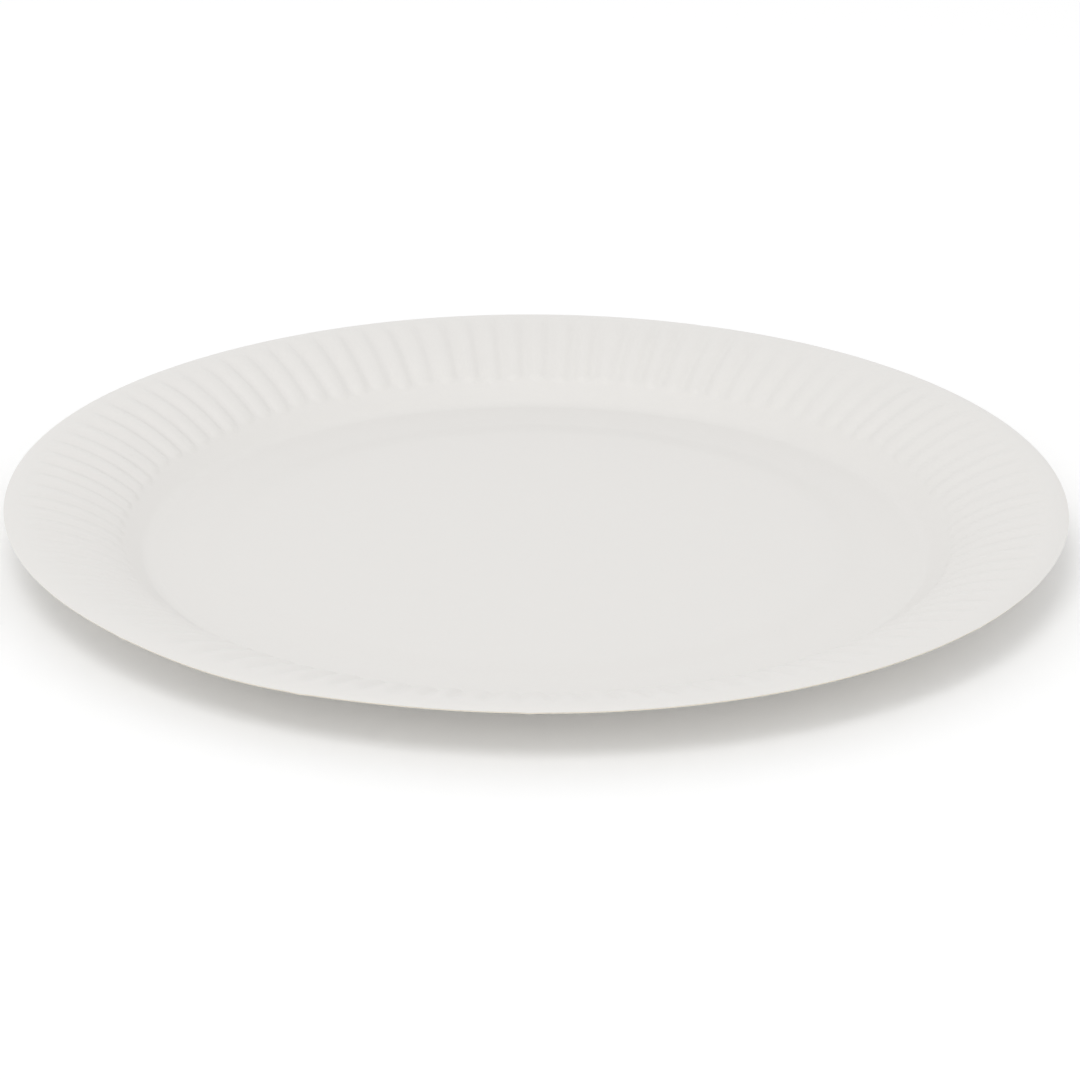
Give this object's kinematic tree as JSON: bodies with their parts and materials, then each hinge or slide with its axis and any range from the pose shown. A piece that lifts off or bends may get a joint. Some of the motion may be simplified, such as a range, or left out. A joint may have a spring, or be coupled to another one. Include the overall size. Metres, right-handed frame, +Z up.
{
  "type": "paper plate",
  "caption": "Round disposable paper plate with a flat base, a slightly raised centre panel and a wide fluted rim that curves over to a turned-down lip.",
  "frame": {"origin": "on the plate's axis, level with the ring that the base stands on", "axes": "+Z up along the plate's axis; the flutes repeat round it, with a ridge on +X"},
  "size_m": [0.23, 0.23, 0.0131],
  "materials": {
    "paper": "smooth white paper board with a faint sheen and a bare cream cut edge"
  },
  "bodies": {
    "root": {"plate": "paper"}
  },
  "joints": []
}
